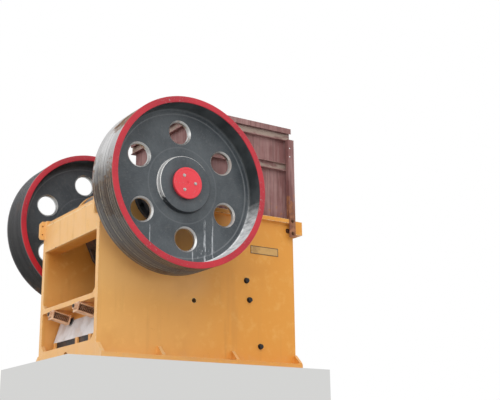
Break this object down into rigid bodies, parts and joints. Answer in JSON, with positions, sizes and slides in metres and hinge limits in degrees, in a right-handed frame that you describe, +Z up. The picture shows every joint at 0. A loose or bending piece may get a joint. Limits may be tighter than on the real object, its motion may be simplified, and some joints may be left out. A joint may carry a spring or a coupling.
{
  "type": "jaw crusher",
  "caption": "Single-toggle jaw crusher: welded plate frame, corrugated jaw plates, feed hopper and two heavy flywheels on one eccentric shaft.",
  "frame": {"origin": "centre of the anchor bolt pattern on the underside of the base flanges", "axes": "+X towards the feed end, +Y towards the drive flywheel, +Z up"},
  "size_m": [2.635, 2.616, 2.674],
  "materials": {
    "frame_paint": "satin orange-yellow paint on steel plate, weathered",
    "primer_steel": "red oxide primer on steel plate, rust stained",
    "bare_plate": "pale grey machined plate",
    "cast_steel": "dark grey casting",
    "wear_steel": "worn manganese steel casting",
    "dark_steel": "blackened fasteners and rods",
    "cage_steel": "thin rusty paint",
    "wheel_iron": "dark grey paint on cast iron, red rim faces",
    "cover_red": "bright red paint",
    "name_metal": "bare metal plate"
  },
  "bodies": {
    "root": {"side_wall_right": "frame_paint", "side_wall_left": "frame_paint", "base_flange_right": "frame_paint", "base_flange_left": "frame_paint", "top_flange_right": "frame_paint", "top_flange_left": "frame_paint", "front_wall": "frame_paint", "front_ribs": "frame_paint", "front_lip": "frame_paint", "rear_upper_beam": "frame_paint", "rear_lower_beam": "frame_paint", "toggle_beam": "frame_paint", "toggle_back_plate": "bare_plate", "shim_packs": "dark_steel", "toggle_seat": "cast_steel", "toggle_plate": "cast_steel", "tension_rods": "dark_steel", "spring_cages": "cage_steel", "springs": "dark_steel", "swing_jaw": "cast_steel", "swing_jaw_plate": "wear_steel", "fixed_jaw_plate": "wear_steel", "jaw_clamps": "wear_steel", "cheek_plate_right": "wear_steel", "cheek_plate_left": "wear_steel", "wall_bolts_right": "dark_steel", "wall_bolts_left": "dark_steel", "bearing_housing_right": "cast_steel", "bearing_housing_left": "cast_steel", "hopper_side_right": "primer_steel", "hopper_side_left": "primer_steel", "hopper_rear_wall": "primer_steel", "hopper_frame": "primer_steel", "hopper_post_right": "primer_steel", "hopper_post_left": "primer_steel", "rear_lugs": "frame_paint", "name_plate": "name_metal"},
    "rotor": {"eccentric_shaft": "wear_steel", "flywheel_right": "wheel_iron", "flywheel_left": "wheel_iron", "wheel_rim_right": "wheel_iron", "wheel_rim_left": "wheel_iron", "shaft_cover_right": "cover_red", "shaft_cover_left": "cover_red"}
  },
  "joints": [
    {"name": "shaft_spin", "type": "hinge", "parent": "root", "child": "rotor", "pos_m": [-0.495, 0, 1.65], "axis": [0, 1, 0], "continuous": true}
  ]
}
